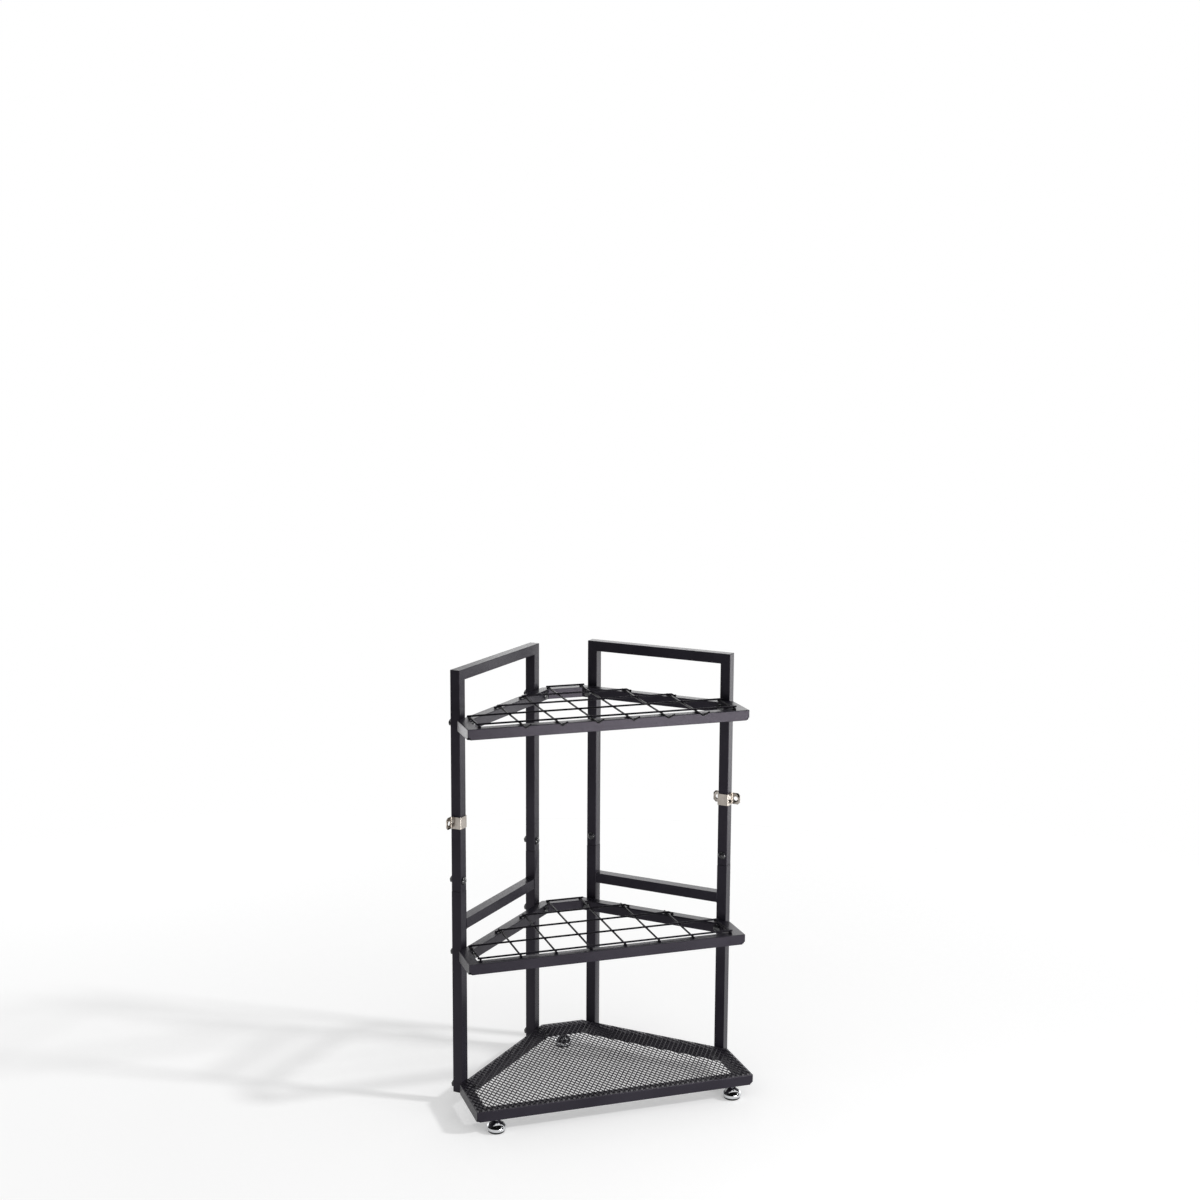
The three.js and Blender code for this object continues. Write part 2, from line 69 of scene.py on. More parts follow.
DIAGONAL_RUN = 0.252
BASE_REACH = 0.056
LEG_INSET = 0.010
DEPTH = SIDE_RETURN + DIAGONAL_RUN
DIAGONAL_TURN = math.radians(45)
QUARTER_TURN = math.radians(90)
LEG_OFFSET = DIAGONAL_RUN / math.cos(DIAGONAL_TURN) / 2 - LEG_INSET - TUBE / 2

# Heights of the tubes' undersides, and of the seam in the legs
BASE_HEIGHT = 0.028
MIDDLE_HEIGHT = 0.318
RAIL_HEIGHT = 0.378
TOP_HEIGHT = 0.803
SEAM_HEIGHT = 0.462
JOINT_BOLT_RISE = 0.022

# Wire grids
WIRE_RADIUS = 0.002
WELD_SINK = 0.0006
GRID_PITCH = 0.075
GRID_COLUMNS = 6
GRID_ROWS = 5
END_COLUMN = 0.272
FIRST_ROW = 0.018
WIRE_END_INSET = 0.010
ROW_TAIL = 0.006
ROW_FALL_RUN = 0.006
ROW_LANDING = 0.005
HOOK_BEND = 0.025
HOOK_REACH = 0.058
HOOK_RISE = 0.014
HOOK_BEND_RADIUS = 0.016
ROW_BEND_RADIUS = 0.004

# Weld spots, in wire radii and in their own radius
END_WELD_SHARE = 1.5
CROSS_WELD_SHARE = 1.35
WELD_HEIGHT_SHARE = 0.55

# The ball that each weld spot is scaled from
BALL_RADIUS = 1.0

# Expanded metal
DIAMOND_WIDTH = 0.0113
DIAMOND_LENGTH = 0.0186
STRAND_WIDTH = 0.0021
STRAND_THICKNESS = 0.0012
STRAND_TILT = math.radians(24)
BOND_SHARE = 0.16
BOND_OVERLAP = 0.0001
SHEET_INSET = 0.004

# Bolts, nuts and studs
BOLT_RADIUS = 0.004
BOLT_TAIL = 0.002
HEAD_RADIUS = 0.0083
HEAD_HEIGHT = 0.0045
HEAD_RIM = 0.0005
NUT_ACROSS_FLATS = 0.013
NUT_HEIGHT = 0.0065
NUT_FACE_SHARE = 0.96
NUT_SECTOR = math.radians(60)
NUT_CHAMFER = math.radians(30)
THREAD_PITCH = 0.00125
THREAD_DEPTH = 0.0005

# Feet
FRONT_FOOT_OFFSET = 0.257
SOLE_RADIUS = 0.0175
SOLE_HEIGHT = 0.005
SOLE_RIDGE = 0.0004
BUN_RADIUS = 0.0201
BUN_HEIGHT = 0.0197
STUD_LENGTH = 0.0205

# The bun from its rim up to the stud, in shares of its radius and height
BUN_SHARES = (
    (0.925, 0.0), (0.985, 0.13), (1.0, 0.28), (0.97, 0.39),
    (0.91, 0.49), (0.771, 0.645), (0.597, 0.772), (0.285, 1.0),
)

# The sole's drawn-in foot, in shares of its radius and height
SOLE_FOOT_SHARES = ((0.86, 0.0), (0.89, 0.0625))

# The sole's edge above the foot: the share of the ridge that is cut away, at a share of the height
SOLE_RIDGE_SHARES = (
    (1, 0.375), (0, 0.5), (0, 0.625), (1, 0.6875), (1, 0.8125), (0, 0.875), (0, 0.9625), (1, 1.0),
)

# Wall clips
CLIP_HEIGHT = 0.5955
CLIP_WIDTH = 0.025
CLIP_THICKNESS = 0.0015
CLIP_EAR = 0.018
CLIP_BEND_RADIUS = 0.0023
CLIP_HOLE_RADIUS = 0.0045
CLIP_HOLE_INSET = 0.008
CLIP_CHAMFER = 0.005

# Roundings, weld beads and cuts
TUBE_EDGE = 0.0014
PLUG_EDGE = 0.0006
CLIP_EDGE = 0.00025
BEAD_RADIUS = 0.0011
JOIN_DISTANCE = 0.00001
OVERRUN = 0.005

# A wire's end: its radius and how far it is set in, in wire radii
WIRE_END_SHARES = ((0.6, 0.0), (0.9, 0.25), (1.0, 0.5))

# How finely round shapes are divided
BEND_STEPS = 6
CLIP_BEND_STEPS = 10
CURVE_STEPS = 6
DOME_STEPS = 12
WIRE_SIDES = 14
BEAD_SIDES = 10
SPOT_SIDES = 12
SPOT_STEPS = 8
BOLT_SIDES = 40
NUT_SIDES = 72
FOOT_SIDES = 96
HOLE_SIDES = 48
SQUARE_SIDES = 4
EDGE_STEPS = 2
TUBE_EDGE_STEPS = 3

# The sharpest angles between faces that are still smooth
CREASE = math.radians(35)
SHEET_CREASE = math.radians(25)
NUT_CREASE = math.radians(20)
FOOT_CREASE = math.radians(40)
SOLE_CREASE = math.radians(50)
TUBE_CREASE = math.radians(40)

# The shelves' front in the row frame, then the sides, legs, levels and feet
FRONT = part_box("middle_shelf_frame")[0].y
SIDES = {"left": -1, "right": 1}
LEGS = {"front": 1, "back": -1}
LEVELS = {"base": BASE_HEIGHT, "middle": MIDDLE_HEIGHT, "top": TOP_HEIGHT}
FEET = {
    "front_left": (-FRONT_FOOT_OFFSET, TUBE / 2 - BASE_REACH),
    "front_right": (FRONT_FOOT_OFFSET, TUBE / 2 - BASE_REACH),
    "rear": (0, DEPTH - TUBE / 2),
}

# Grain of the finishes: noise cells per metre, how much finer the coat's second grain is, and depths
TUBE_CELLS = 900.0
SHEET_CELLS = 1400.0
WIRE_CELLS = 1500.0
COAT_CLOUD_CELLS = 9.0
COAT_FINE_RATIO = 5
PEEL_DEPTH = 0.0004
GRAIN_DEPTH = 0.0002
FINE_DEPTH = 0.0001
WIPE_CELLS = 60.0
CHROME_FINE_CELLS = 900.0
STRIP_LINE_CELLS = 160.0
STRIP_CLOUD_CELLS = 55.0
STRIP_LINE_DEPTH = 0.00012
PLATING_CLOUD_CELLS = 240.0
PLATING_FINE_CELLS = 1500.0
SPANGLE_CELLS = 180.0
MOULDED_CLOUD_CELLS = 70.0
RUBBER_CELLS = 900.0
PLASTIC_CELLS = 1400.0

# Roughness of the finishes, from smooth to rough, and how strongly the coats shine
TUBE_SHEEN = (0.23, 0.39)
SHEET_SHEEN = (0.24, 0.4)
WIRE_SHEEN = (0.2, 0.36)
BOLT_SHEEN = (0.16, 0.28)
NUT_SHEEN = (0.3, 0.42)
CHROME_SHEEN = (0.035, 0.09)
NICKEL_SHEEN = (0.12, 0.26)
ZINC_SHEEN = (0.35, 0.5)
RUBBER_SHEEN = (0.64, 0.8)
PLASTIC_SHEEN = (0.42, 0.58)
COAT_LEVEL = 0.2
WIRE_LEVEL = 0.08
# The wires' coat is the tubes' coat painted at half its colour: painted shade, so the thin wires look darker
WIRE_PAINTED_SHADE = 0.5

# The part of a noise's range that is used, and how it is stretched
NOISE_LOW = 0.3
NOISE_HIGH = 0.7
WIPE_START = 0.35
EVEN = (1.0, 1.0, 1.0)
WIPE_STRETCH = (1.0, 1.0, 5.0)
STRIP_STRETCH = (1.0, 1.0, 26.0)

# Colours, dark and light
COAT_COLOURS = ((0.011, 0.010, 0.0145), (0.019, 0.0175, 0.0235))
CHROME_COLOURS = ((0.60, 0.61, 0.63), (0.68, 0.69, 0.70))
NICKEL_COLOURS = ((0.31, 0.28, 0.25), (0.46, 0.42, 0.38))
PLATING_COLOURS = ((0.010, 0.010, 0.012), (0.020, 0.020, 0.023))
ZINC_COLOURS = ((0.38, 0.39, 0.40), (0.52, 0.53, 0.54))
MOULDED_COLOURS = ((0.013, 0.013, 0.014), (0.022, 0.022, 0.023))
COAT_TINT = (0.95, 0.86, 1.0, 1.0)
WHITE = (1.0, 1.0, 1.0, 1.0)
BLACK = (0.01, 0.01, 0.01, 1.0)


# Node helpers for the materials


class Surface:
    """A material with one Principled shader and short ways to add nodes to it."""

    def __init__(self, name):
        self.material = bpy.data.materials.new(name)
        self.material.use_nodes = True
        self.tree = self.material.node_tree
        self.shader = self.tree.nodes["Principled BSDF"]
        self.place = self.tree.nodes.new("ShaderNodeTexCoord").outputs["Object"]

    def fill(self, node, inputs):
        """Links or sets sockets. An underscore in a key stands for a space."""
        for key, value in inputs.items():
            socket = node.inputs[key.replace("_", " ")]
            if hasattr(value, "is_output"):
                self.tree.links.new(value, socket)
            else:
                socket.default_value = value

    def node(self, kind, **inputs):
        made = self.tree.nodes.new(kind)
        self.fill(made, inputs)
        return made

    def set(self, **inputs):
        self.fill(self.shader, inputs)

    def noise(self, cells, detail=3.0, roughness=0.5, stretch=EVEN):
        mapped = self.node("ShaderNodeMapping", Vector=self.place, Scale=stretch)
        made = self.node("ShaderNodeTexNoise", Scale=cells, Detail=detail, Roughness=roughness)
        self.tree.links.new(mapped.outputs[0], made.inputs["Vector"])
        return made.outputs[0]

    def spread(self, value, low, high, start=NOISE_LOW, end=NOISE_HIGH):
        """Spreads a value between two limits."""
        limits = {"From_Min": start, "From_Max": end, "To_Min": low, "To_Max": high}
        return self.node("ShaderNodeMapRange", Value=value, **limits).outputs[0]

    def blend(self, factor, ends):
        """A colour between two colours."""
        made = self.node("ShaderNodeMix")
        made.data_type = "RGBA"
        self.tree.links.new(factor, made.inputs["Factor"])
        sockets = [socket for socket in made.inputs if socket.type == "RGBA"]
        for socket, colour in zip(sockets, ends):
            socket.default_value = (*colour, 1.0)
        return [socket for socket in made.outputs if socket.type == "RGBA"][0]

    def bump(self, height, distance, strength, below=None):
        made = self.node("ShaderNodeBump", Height=height, Strength=strength, Distance=distance)
        if below is not None:
            self.tree.links.new(below, made.inputs["Normal"])
        return made.outputs[0]


def powder_coat(name, cells, sheen, level, painted_shade=1.0):
    """Satin black powder coat: orange peel, a fine grain on top and slightly uneven gloss. A last argument
    below one darkens the colour as painted shade.
    """
    made = Surface(name)
    peel = made.noise(cells, detail=2.0)
    fine = made.noise(cells * COAT_FINE_RATIO, detail=2.0, roughness=0.6)
    cloud = made.spread(made.noise(COAT_CLOUD_CELLS), 0, 1)
    # The coat's colours scaled down by the painted shade, below one only on the wires
    colours = [[painted_shade * part for part in colour] for colour in COAT_COLOURS]
    peel_normal = made.bump(peel, PEEL_DEPTH, strength=0.35)
    normal = made.bump(fine, GRAIN_DEPTH, strength=0.22, below=peel_normal)
    made.set(Base_Color=made.blend(cloud, colours), Metallic=0.0)
    made.set(Roughness=made.spread(fine, *sheen), Normal=normal)
    made.set(Specular_IOR_Level=level, Specular_Tint=COAT_TINT)
    return made.material


def chrome_plate(name):
    """Bright chrome: nearly a mirror, with faint wipe marks."""
    made = Surface(name)
    wipe = made.noise(WIPE_CELLS, detail=4.0, roughness=0.6, stretch=WIPE_STRETCH)
    fine = made.noise(CHROME_FINE_CELLS, detail=2.0)
    normal = made.bump(fine, FINE_DEPTH, strength=0.02)
    made.set(Base_Color=made.blend(wipe, CHROME_COLOURS), Metallic=1.0)
    made.set(Roughness=made.spread(wipe, *CHROME_SHEEN, start=WIPE_START), Normal=normal)
    return made.material


def nickel_strip(name):
    """Warm nickel on rolled strip: fine lines along the strip and soft spots."""
    made = Surface(name)
    lines = made.noise(STRIP_LINE_CELLS, detail=5.0, roughness=0.65, stretch=STRIP_STRETCH)
    cloud = made.spread(made.noise(STRIP_CLOUD_CELLS), 0, 1)
    normal = made.bump(lines, STRIP_LINE_DEPTH, strength=0.25)
    made.set(Base_Color=made.blend(cloud, NICKEL_COLOURS), Metallic=1.0)
    made.set(Roughness=made.spread(lines, *NICKEL_SHEEN), Normal=normal)
    return made.material


def black_steel(name, sheen):
    """Glossy black plating on the bolts, duller on the nuts."""
    made = Surface(name)
    cloud = made.noise(PLATING_CLOUD_CELLS, roughness=0.6)
    fine = made.noise(PLATING_FINE_CELLS, detail=2.0)
    normal = made.bump(fine, FINE_DEPTH, strength=0.05)
    made.set(Base_Color=made.blend(cloud, PLATING_COLOURS), Metallic=0.0)
    made.set(Roughness=made.spread(cloud, *sheen), Normal=normal)
    made.set(Coat_Weight=0.5, Coat_Roughness=0.08)
    return made.material


def zinc(name):
    """Plain zinc on the hidden joiner tubes."""
    made = Surface(name)
    spangle = made.noise(SPANGLE_CELLS, detail=2.0, roughness=0.4)
    normal = made.bump(spangle, FINE_DEPTH, strength=0.1)
    made.set(Base_Color=made.blend(spangle, ZINC_COLOURS), Metallic=1.0)
    made.set(Roughness=made.spread(spangle, *ZINC_SHEEN), Normal=normal)
    return made.material


def moulded(name, cells, sheen):
    """Moulded black rubber or plastic with a fine spark grain."""
    made = Surface(name)
    fine = made.noise(cells, roughness=0.6)
    cloud = made.noise(MOULDED_CLOUD_CELLS)
    normal = made.bump(fine, GRAIN_DEPTH, strength=0.3)
    made.set(Base_Color=made.blend(cloud, MOULDED_COLOURS), Metallic=0.0)
    made.set(Roughness=made.spread(fine, *sheen), Normal=normal)
    return made.material


MATERIALS = {
    "frame_coat": powder_coat("satin black tube coat", TUBE_CELLS, TUBE_SHEEN, COAT_LEVEL),
    "mesh_coat": powder_coat("satin black sheet coat", SHEET_CELLS, SHEET_SHEEN, COAT_LEVEL),
    "wire_coat": powder_coat("satin black wire coat", WIRE_CELLS, WIRE_SHEEN, WIRE_LEVEL, WIRE_PAINTED_SHADE),
    "joiner_steel": zinc("zinc plate"),
    "bolt_steel": black_steel("gloss black bolt", BOLT_SHEEN),
    "nut_steel": black_steel("black nut", NUT_SHEEN),
    "foot_chrome": chrome_plate("bright chrome"),
    "sole_rubber": moulded("black rubber", RUBBER_CELLS, RUBBER_SHEEN),
    "plug_plastic": moulded("black plastic", PLASTIC_CELLS, PLASTIC_SHEEN),
    "clip_nickel": nickel_strip("warm nickel strip"),
}


# Shape helpers


def side_matrix(side, x, y, z):
    """A side frame's axes: X along the wall, Y out to the wall, from the diagonal's outer line."""
    place = Vector((side * (HALF_WIDTH - DIAGONAL_RUN / 2), FRONT + SIDE_RETURN + DIAGONAL_RUN / 2, 0))
    turn = Matrix.Rotation(-side * DIAGONAL_TURN, 4, "Z")
    return Matrix.Translation(place) @ turn @ Matrix.Translation((x, y, z))


def rounded_path(points, radius, steps=BEND_STEPS):
    """Straight runs with a curve in each corner."""
    path = [points[0]]
    for before, corner, after in zip(points, points[1:], points[2:]):
        arriving = (corner - before).normalized()
        leaving = (after - corner).normalized()
        cut = radius * math.tan(arriving.angle(leaving) / 2)
        start = corner - arriving * cut
        end = corner + leaving * cut
        for i in range(steps + 1):
            t = i / steps
            path.append(start * (1 - t) ** 2 + corner * 2 * t * (1 - t) + end * t**2)
    path.append(points[-1])
    return path


def bridge(bm, rings):
    """Joins rings of vertices into a skin."""
    for low, high in zip(rings, rings[1:]):
        for i in range(len(low)):
            j = (i + 1) % len(low)
            bm.faces.new((low[i], low[j], high[j], high[i]))


def closed_skin(bm, rings):
    """Joins rings and closes both ends."""
    bridge(bm, rings)
    bm.faces.new(list(reversed(rings[0])))
    bm.faces.new(rings[-1])


def round_bar(bm, path, radius, sides=WIRE_SIDES):
    """A round bar along a path, with slightly domed ends."""
    steps = [((path[1] - path[0]).normalized(), path[0])]
    for before, here, after in zip(path, path[1:], path[2:]):
        along = ((here - before).normalized() + (after - here).normalized()).normalized()
        steps.append((along, here))
    steps.append(((path[-1] - path[-2]).normalized(), path[-1]))
    plain = ((1, 0),)
    last_end = [(share, -shift) for share, shift in reversed(WIRE_END_SHARES)]
    shapes = [WIRE_END_SHARES, *[plain] * (len(steps) - 2), last_end]
    across = steps[0][0].orthogonal().normalized()
    rings = []
    for (along, here), shape in zip(steps, shapes):
        across = (across - along * across.dot(along)).normalized()
        other = along.cross(across)
        for share, shift in shape:
            centre = here + along * shift * radius
            ring = []
            for k in range(sides):
                angle = math.tau * k / sides
                offset = across * math.cos(angle) + other * math.sin(angle)
                ring.append(bm.verts.new(centre + offset * radius * share))
            rings.append(ring)
    closed_skin(bm, rings)


def turned(profile, segments, name, crease):
    """A mesh from a profile of (radius, height) points turned about Z. Points on the axis close it."""
    bm = bmesh.new()
    rings = []
    for radius, height in profile:
        if radius == 0:
            rings.append([bm.verts.new((0, 0, height))] * segments)
            continue
        ring = []
        for i in range(segments):
            angle = math.tau * i / segments
            ring.append(bm.verts.new((radius * math.cos(angle), radius * math.sin(angle), height)))
        rings.append(ring)
    for low, high in zip(rings, rings[1:]):
        for i in range(segments):
            j = (i + 1) % segments
            corners = []
            for vertex in (low[i], low[j], high[j], high[i]):
                if vertex not in corners:
                    corners.append(vertex)
            bm.faces.new(corners)
    return mesh_from(bm, name, crease)


def mesh_from(bm, name, crease=CREASE):
    """Ends a mesh: faces outward, smooth but for its sharp edges."""
    bmesh.ops.recalc_face_normals(bm, faces=bm.faces)
    for face in bm.faces:
        face.smooth = True
    for edge in bm.edges:
        edge.smooth = len(edge.link_faces) == 2 and edge.calc_face_angle(0) < crease
    mesh = bpy.data.meshes.new(name)
    bm.to_mesh(mesh)
    bm.free()
    return mesh


def linked(name, data):
    """A new object in the scene."""
    made = bpy.data.objects.new(name, data)
    bpy.context.scene.collection.objects.link(made)
    return made


def place_piece(name, mesh, body, slot, nodes=(), matrix=Matrix.Identity(4)):
    """Puts a copy of a mesh, moved by a matrix, in the scene as a piece of the object."""
    shape = mesh.copy()
    shape.transform(matrix)
    shape.materials.clear()
    shape.materials.append(MATERIALS[slot])
    piece = linked(name, shape)
    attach(piece, body)
    if nodes:
        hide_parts(*nodes)


# Wire grids


def column_places():
    inner = [(i - (GRID_COLUMNS - 1) / 2) * GRID_PITCH for i in range(GRID_COLUMNS)]
    return [-END_COLUMN, *inner, END_COLUMN]


def column_end(x):
    return min(DEPTH, SIDE_RETURN + HALF_WIDTH - abs(x)) - WIRE_END_INSET


def column_path(x, hooked):
    back = Vector((x, column_end(x), WIRE_RADIUS))
    if not hooked or abs(x) == END_COLUMN:
        return [Vector((x, WIRE_END_INSET, WIRE_RADIUS)), back]
    tip = Vector((x, -HOOK_REACH, WIRE_RADIUS + HOOK_RISE))
    return rounded_path([tip, Vector((x, -HOOK_BEND, WIRE_RADIUS)), back], HOOK_BEND_RADIUS)


def outer_column(y):
    return max(x for x in column_places() if column_end(x) > y)


def row_path(y):
    """A row lies on the columns. Where it reaches the diagonal tubes its ends come down on them."""
    height = 3 * WIRE_RADIUS - WELD_SINK
    outer = outer_column(y)
    tube = HALF_WIDTH - (y - SIDE_RETURN) - TUBE / 2 / math.cos(DIAGONAL_TURN)
    over_diagonal = SIDE_RETURN < y < DEPTH - TUBE
    if not over_diagonal or tube - ROW_LANDING - ROW_FALL_RUN < outer:
        end = outer + ROW_TAIL
        return [Vector((-end, y, height)), Vector((end, y, height))]
    half = [
        Vector((tube - ROW_LANDING - ROW_FALL_RUN, y, height)),
        Vector((tube - ROW_LANDING, y, WIRE_RADIUS)),
        Vector((tube, y, WIRE_RADIUS)),
    ]
    mirrored = [Vector((-point.x, point.y, point.z)) for point in reversed(half)]
    return rounded_path(mirrored + half, ROW_BEND_RADIUS)


def weld_spot(bm, x, y, z, share):
    """A small flat blob of weld."""
    radius = WIRE_RADIUS * share
    matrix = Matrix.Translation((x, y, z)) @ Matrix.Diagonal((radius, radius, radius * WELD_HEIGHT_SHARE, 1))
    bmesh.ops.create_uvsphere(
        bm, u_segments=SPOT_SIDES, v_segments=SPOT_STEPS, radius=BALL_RADIUS, matrix=matrix
    )


def wire_grid(name, node, tube_node, hooked):
    """A shelf's columns and rows with a weld wherever two wires cross or one meets the frame."""
    bm = bmesh.new()
    for x in column_places():
        round_bar(bm, column_path(x, hooked), WIRE_RADIUS)
        for y in (column_end(x) - WIRE_RADIUS, WIRE_END_INSET + WIRE_RADIUS):
            weld_spot(bm, x, y, WIRE_RADIUS / 2, END_WELD_SHARE)
    for i in range(GRID_ROWS):
        y = FIRST_ROW + i * GRID_PITCH
        round_bar(bm, row_path(y), WIRE_RADIUS)
        for x in column_places():
            if column_end(x) > y:
                weld_spot(bm, x, y, 2 * WIRE_RADIUS - WELD_SINK / 2, CROSS_WELD_SHARE)
    place = Matrix.Translation((0, FRONT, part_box(tube_node)[1].z))
    place_piece(name, mesh_from(bm, name), "rack", "wire_coat", [node], place)


wire_grid("middle_shelf_wires", "middle_shelf_grid", "middle_shelf_frame", False)
wire_grid("top_shelf_wires", "top_shelf_grid", "top_shelf_frame", True)


# Expanded metal: bent strips side by side, joined where neighbours meet


def sheet_end(x):
    """How far back the sheet reaches at a place across the rack."""
    slant = SHEET_INSET / math.cos(DIAGONAL_TURN)
    return min(DEPTH - SHEET_INSET, SIDE_RETURN + HALF_WIDTH - abs(x) - slant)


def strip_ring(bm, x, y, z):
    """The tilted section of a strip, four corners."""
    across = Vector((math.cos(STRAND_TILT), 0, math.sin(STRAND_TILT))) * STRAND_WIDTH / 2
    up = Vector((-math.sin(STRAND_TILT), 0, math.cos(STRAND_TILT))) * STRAND_THICKNESS / 2
    centre = Vector((x, y, z))
    corners = (centre - across - up, centre + across - up, centre + across + up, centre - across + up)
    return [bm.verts.new(corner) for corner in corners]


def expanded_sheet():
    """Each strip swings from one neighbour to the other, high where it meets its left one."""
    half = DIAMOND_WIDTH / 2
    bond = BOND_SHARE / 2
    swing = (half - STRAND_WIDTH * math.cos(STRAND_TILT) + BOND_OVERLAP) / 2
    lift = STRAND_WIDTH * math.sin(STRAND_TILT) / 2
    sway_shares = (
        (0, 1), (bond, 1), (0.25, 0), (0.5 - bond, -1), (0.5, -1), (0.5 + bond, -1), (0.75, 0), (1 - bond, 1),
    )
    reach = HALF_WIDTH - SHEET_INSET
    count = int(reach / half)
    front = SHEET_INSET - BASE_REACH
    bm = bmesh.new()
    for k in range(-count, count + 1):
        end = sheet_end(k * half)
        hand = 1 if k % 2 else -1
        rings = []
        y = front - (front % DIAMOND_LENGTH) - DIAMOND_LENGTH
        while y < end:
            for share, sway in sway_shares:
                place = y + share * DIAMOND_LENGTH
                x = k * half + hand * sway * swing
                if front < place < end and abs(x) < reach:
                    rings.append(strip_ring(bm, x, place, -hand * sway * lift))
            y += DIAMOND_LENGTH
        if len(rings) > 1:
            closed_skin(bm, rings)
    return mesh_from(bm, "expanded_sheet", SHEET_CREASE)


low_sheet, high_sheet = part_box("base_mesh")
sheet_place = Matrix.Translation((0, FRONT, (low_sheet.z + high_sheet.z) / 2))
place_piece("expanded_sheet", expanded_sheet(), "rack", "mesh_coat", ["base_mesh"], sheet_place)


# Bolts and nuts


def thread(length, start):
    """Profile points of a thread, from a height upwards."""
    points = []
    for i in range(int(length / THREAD_PITCH)):
        low = start + i * THREAD_PITCH
        points.append((BOLT_RADIUS - THREAD_DEPTH, low))
        points.append((BOLT_RADIUS, low + THREAD_PITCH / 2))
    return points


def bolt_mesh(grip):
    """A domed bolt: the head bears at zero and the shank points up."""
    profile = [(0, -HEAD_HEIGHT)]
    for i in range(1, DOME_STEPS + 1):
        angle = QUARTER_TURN * i / DOME_STEPS
        height = (HEAD_HEIGHT - HEAD_RIM) * math.cos(angle) + HEAD_RIM
        profile.append((HEAD_RADIUS * math.sin(angle), -height))
    end = grip + SEAT + NUT_HEIGHT + BOLT_TAIL
    profile += [(HEAD_RADIUS, 0), (BOLT_RADIUS, 0), (BOLT_RADIUS, grip)]
    profile += thread(end - grip - THREAD_PITCH, grip)
    profile += [(BOLT_RADIUS - THREAD_DEPTH, end), (0, end)]
    return turned(profile, BOLT_SIDES, "bolt", CREASE)


def nut_mesh():
    """A hexagon nut with chamfered corners, on zero and upwards. A corner points along Y."""
    flat = NUT_ACROSS_FLATS / 2
    face = flat * NUT_FACE_SHARE
    bore = BOLT_RADIUS + SEAT
    rings = [[], [], [], [], []]
    bm = bmesh.new()
    for i in range(NUT_SIDES):
        angle = math.tau * i / NUT_SIDES
        outer = flat / math.cos((angle + NUT_SECTOR / 2) % NUT_SECTOR - NUT_SECTOR / 2)
        drop = (outer - face) * math.tan(NUT_CHAMFER)
        spots = ((bore, SEAT), (face, 0), (outer, drop), (outer, NUT_HEIGHT - drop), (face, NUT_HEIGHT))
        for ring, (radius, height) in zip(rings, spots):
            ring.append(bm.verts.new((radius * math.cos(angle), radius * math.sin(angle), height)))
    bridge(bm, rings + [rings[0]])
    return mesh_from(bm, "nut", NUT_CREASE)


def dress_bolts():
    """A bolt and a nut for each of the CAD's, along the side frames' own Y."""
    turn = Matrix.Rotation(-QUARTER_TURN, 4, "X")
    nut_face = SEAT + TUBE + SEAT
    shelf_head = -TUBE - SEAT
    shelf_bolt = bolt_mesh(SEAT + TUBE - shelf_head)
    joint_bolt = bolt_mesh(SEAT + TUBE)
    nut = nut_mesh()
    spots = {level: (height + TUBE / 2, shelf_head, shelf_bolt) for level, height in LEVELS.items()}
    spots["joint"] = (SEAM_HEIGHT + JOINT_BOLT_RISE, 0, joint_bolt)
    for side, sign in SIDES.items():
        for leg, direction in LEGS.items():
            x = sign * direction * LEG_OFFSET
            for level, (height, head, mesh) in spots.items():
                bolt_node = f"{level}_bolt_{side}_{leg}"
                nut_node = f"{level}_nut_{side}_{leg}"
                matrix = side_matrix(sign, x, head, height) @ turn
                place_piece(f"fine_{bolt_node}", mesh, "rack", "bolt_steel", [bolt_node], matrix)
                matrix = side_matrix(sign, x, nut_face, height) @ turn
                place_piece(f"fine_{nut_node}", nut, "rack", "nut_steel", [nut_node], matrix)


dress_bolts()


# Feet


def between(before, start, end, after, t):
    """A value on the smooth curve from start to end."""
    bend = (2 * before - 5 * start + 4 * end - after) * t**2
    swing = (3 * start - before - 3 * end + after) * t**3
    return (2 * start + (end - before) * t + bend + swing) / 2


def smooth_profile(points):
    """A smooth curve through (radius, height) points."""
    result = []
    padded = [points[0], *points, points[-1]]
    for corners in zip(padded, padded[1:], padded[2:], padded[3:]):
        for i in range(CURVE_STEPS):
            result.append(tuple(between(*values, i / CURVE_STEPS) for values in zip(*corners)))
    result.append(points[-1])
    return result


def foot_mesh():
    """The bun and its threaded stud, the rim at zero."""
    curve = smooth_profile([(share * BUN_RADIUS, rise * BUN_HEIGHT) for share, rise in BUN_SHARES])
    curve = [(min(radius, BUN_RADIUS), height) for radius, height in curve]
    top = BUN_HEIGHT + STUD_LENGTH
    profile = [(0, 0), *curve, (BOLT_RADIUS, BUN_HEIGHT)]
    profile += thread(STUD_LENGTH - THREAD_PITCH, BUN_HEIGHT)
    profile += [(BOLT_RADIUS - THREAD_DEPTH, top), (0, top)]
    return turned(profile, FOOT_SIDES, "foot", FOOT_CREASE)


def sole_mesh():
    """The rubber sole with a ridge round its edge and a drawn-in foot."""
    profile = [(0, 0)]
    profile += [(SOLE_RADIUS * share, SOLE_HEIGHT * rise) for share, rise in SOLE_FOOT_SHARES]
    profile += [(SOLE_RADIUS - SOLE_RIDGE * share, SOLE_HEIGHT * rise) for share, rise in SOLE_RIDGE_SHARES]
    profile += [(0, SOLE_HEIGHT)]
    return turned(profile, FOOT_SIDES, "sole", SOLE_CREASE)


def dress_feet():
    foot = foot_mesh()
    sole = sole_mesh()
    for name, (x, y) in FEET.items():
        place = Matrix.Translation((x, FRONT + y, 0))
        place_piece(f"fine_sole_{name}", sole, f"sole_carrier_{name}", "sole_rubber", [f"sole_{name}"], place)
        place = Matrix.Translation((x, FRONT + y, SOLE_HEIGHT + SEAT))
        place_piece(f"fine_foot_{name}", foot, f"foot_body_{name}", "foot_chrome", [f"foot_{name}"], place)


dress_feet()


# Wall clips: a strap round the leg, whose ears lie against the wall

